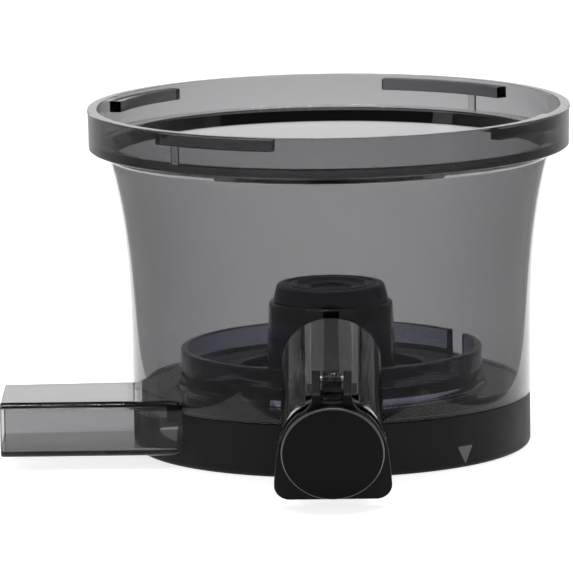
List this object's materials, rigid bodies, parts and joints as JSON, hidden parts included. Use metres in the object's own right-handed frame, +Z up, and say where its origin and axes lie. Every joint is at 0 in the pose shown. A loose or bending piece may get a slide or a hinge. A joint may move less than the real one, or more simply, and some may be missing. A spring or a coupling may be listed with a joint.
{
  "type": "slow juicer bowl",
  "caption": "Smoky clear juicing bowl of an upright slow juicer, with a bayonet collar, hinged juice-spout cap, flat pulp spout, strainer ring, shaft hub and black base skirt.",
  "frame": {"origin": "bowl axis at the plane the base skirt stands on", "axes": "+Z up along the bowl axis, -Y towards the juice spout, -X towards the pulp spout"},
  "size_m": [0.224, 0.2438, 0.1345],
  "materials": {
    "clear_smoke": "polished, see-through grey tint",
    "dark_smoke": "polished, deep blue-grey tint, nearly opaque",
    "black_skirt": "fine satin texture",
    "black_cap": "fine satin texture",
    "black_face": "fine satin, bright edge",
    "silicone": "soft matt silicone",
    "bush": "smooth low-friction plastic",
    "steel": "bright stainless",
    "magnet": "bright nickel plate",
    "mark": "satin mid grey"
  },
  "bodies": {
    "bowl": {"bowl_shell": "clear_smoke", "chamber_floor": "dark_smoke", "ring_seat": "dark_smoke", "shaft_hub": "dark_smoke", "base_skirt": "black_skirt", "floor_gasket": "silicone", "alignment_mark": "mark", "shaft_bush": "bush", "juice_spout": "clear_smoke", "cap_hinge_pin": "steel", "pulp_spout": "clear_smoke", "gate_pin": "steel", "interlock_magnet": "magnet", "magnet_cover": "black_skirt"},
    "cap": {"spout_cap": "black_cap", "cap_face": "black_face", "cap_seal": "silicone"},
    "gate": {"gate_arm": "black_cap", "gate_plug": "silicone"},
    "packing": {"hub_packing": "silicone"}
  },
  "joints": [
    {"name": "cap_hinge", "type": "hinge", "parent": "bowl", "child": "cap", "pos_m": [0, -0.13393, 0.04864], "axis": [-1, 0, 0], "range_deg": [0, 110]},
    {"name": "gate_hinge", "type": "hinge", "parent": "bowl", "child": "gate", "pos_m": [-0.028, -0.035, 0.0064], "axis": [0, -1, 0], "range_deg": [0, 85]},
    {"name": "packing_lift", "type": "slide", "parent": "bowl", "child": "packing", "axis": [0, 0, 1], "range_m": [0, 0.03]}
  ]
}
